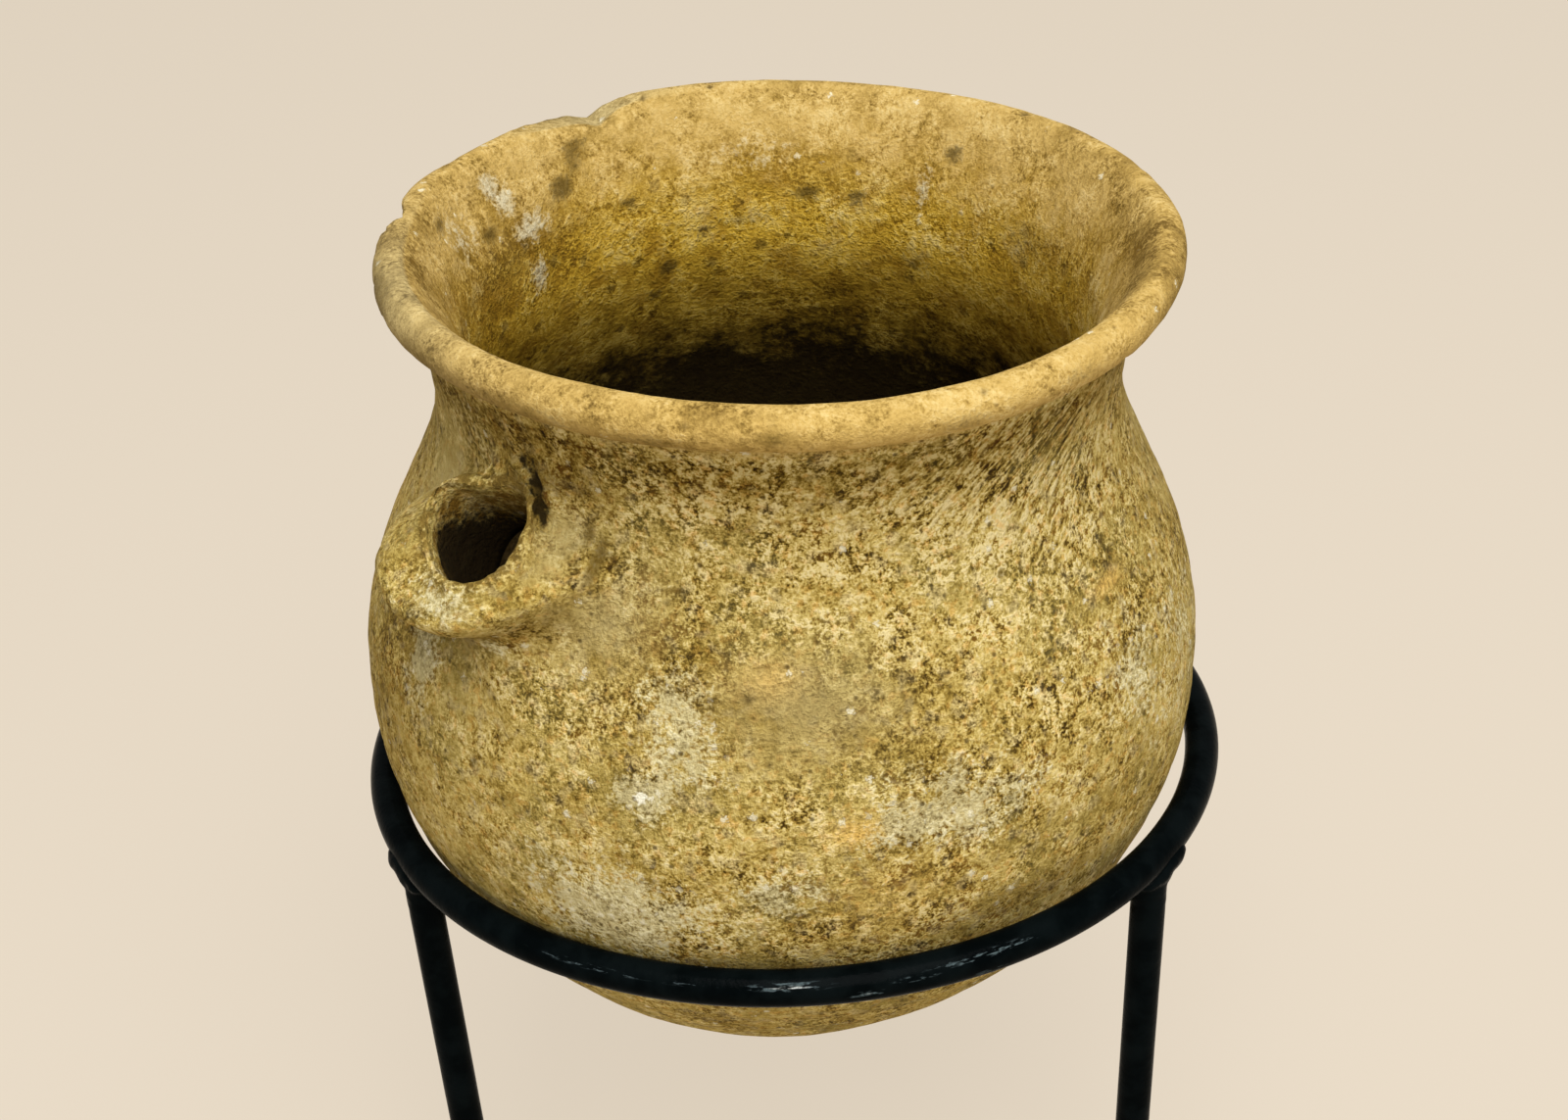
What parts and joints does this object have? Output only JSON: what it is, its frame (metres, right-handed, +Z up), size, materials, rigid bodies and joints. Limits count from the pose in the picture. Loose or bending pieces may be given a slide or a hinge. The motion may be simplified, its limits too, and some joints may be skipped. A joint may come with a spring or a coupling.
{
  "type": "ancient clay jar on ring stand",
  "caption": "Wide-mouthed fired clay pouring jar with a rounded underside and a broken spout, cradled in a black iron ring on straight legs.",
  "frame": {"origin": "on the ring's axis at floor level, under the middle of the stand", "axes": "+Z up, -Y towards the side first seen, with the spout stub to the front left"},
  "size_m": [0.1546, 0.1554, 0.2047],
  "materials": {
    "clay": "matte gritty fired clay, ochre with olive-brown mottling, dark specks and pale lime patches",
    "black_iron": "semi-gloss black paint on round iron bar, worn on the ring's front"
  },
  "bodies": {
    "root": {"jar": "clay", "stand_ring": "black_iron", "stand_leg_left": "black_iron", "stand_leg_right": "black_iron", "stand_leg_back": "black_iron"}
  },
  "joints": []
}
